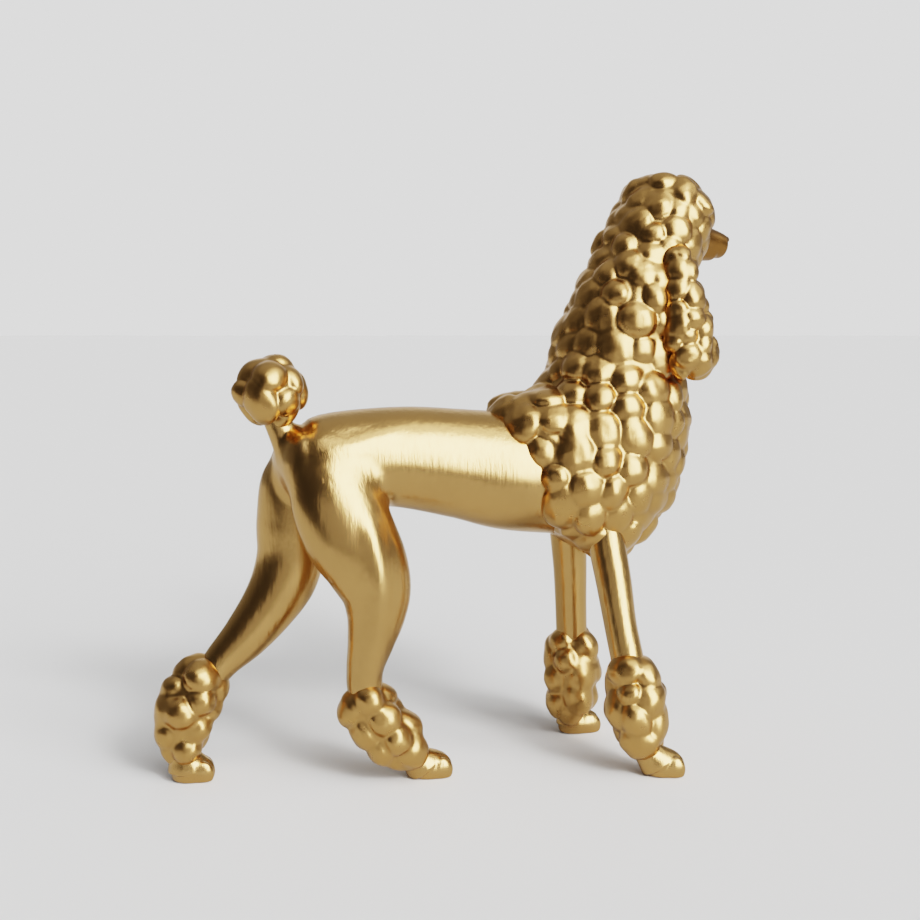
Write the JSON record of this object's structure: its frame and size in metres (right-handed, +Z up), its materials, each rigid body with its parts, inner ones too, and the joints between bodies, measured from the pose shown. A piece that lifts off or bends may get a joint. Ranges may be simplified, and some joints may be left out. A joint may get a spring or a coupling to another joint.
{
  "type": "poodle figurine",
  "caption": "Standing poodle figurine in show clip: smooth trunk and legs, lobed coat on chest, neck, head, ears, ankles and tail, flat soles to stand on.",
  "frame": {"origin": "on the resting plane, level with the soles, in the middle of the bounding box's lower face", "axes": "+X towards the head, +Y to the dog's left, +Z up"},
  "size_m": [0.2768, 0.0982, 0.272],
  "materials": {
    "satin_gold": "satin metallic gold over ceramic, with fine brush streaks",
    "coat_gold": "glossier metallic gold on the lobes, darker orange brown in the creases",
    "muzzle_gold": "darker, browner satin gold",
    "steel": "plain drawn steel, hidden inside"
  },
  "bodies": {
    "root": {"trunk_shell": "satin_gold", "mane_shell": "coat_gold", "right_fore_leg": "satin_gold", "right_fore_cuff": "coat_gold", "right_fore_paw": "satin_gold", "right_fore_rod": "steel", "left_fore_leg": "satin_gold", "left_fore_cuff": "coat_gold", "left_fore_paw": "satin_gold", "left_fore_rod": "steel", "right_hind_leg": "satin_gold", "right_hind_cuff": "coat_gold", "right_hind_paw": "satin_gold", "right_hind_rod": "steel", "left_hind_leg": "satin_gold", "left_hind_cuff": "coat_gold", "left_hind_paw": "satin_gold", "left_hind_rod": "steel", "tail_stem": "satin_gold", "tail_pompom": "coat_gold", "tail_pin": "steel", "head_shell": "coat_gold", "muzzle": "muzzle_gold", "right_ear": "coat_gold", "left_ear": "coat_gold"}
  },
  "joints": []
}
